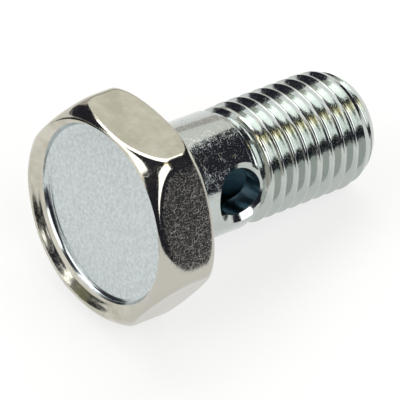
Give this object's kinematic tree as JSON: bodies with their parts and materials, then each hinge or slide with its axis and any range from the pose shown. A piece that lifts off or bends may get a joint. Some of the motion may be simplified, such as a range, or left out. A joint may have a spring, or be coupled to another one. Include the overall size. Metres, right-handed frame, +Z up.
{
  "type": "banjo bolt",
  "caption": "Hollow banjo bolt with a dished hexagon head: its plain shank carries a ring fitting, and oil runs from the cross hole through the drilled way to the threaded end.",
  "frame": {"origin": "middle of the bearing face under the head, on the bolt's axis", "axes": "+Z up, the bolt lying as it comes to rest: the head towards -X, the thread towards +X and tipped down 13.2 degrees to the floor; +Y to the left of that"},
  "size_m": [0.0276, 0.0189, 0.0177],
  "materials": {
    "zinc_plated_steel": "cold-forged steel with bright blue-white zinc plating"
  },
  "bodies": {
    "root": {"banjo_bolt": "zinc_plated_steel"}
  },
  "joints": []
}
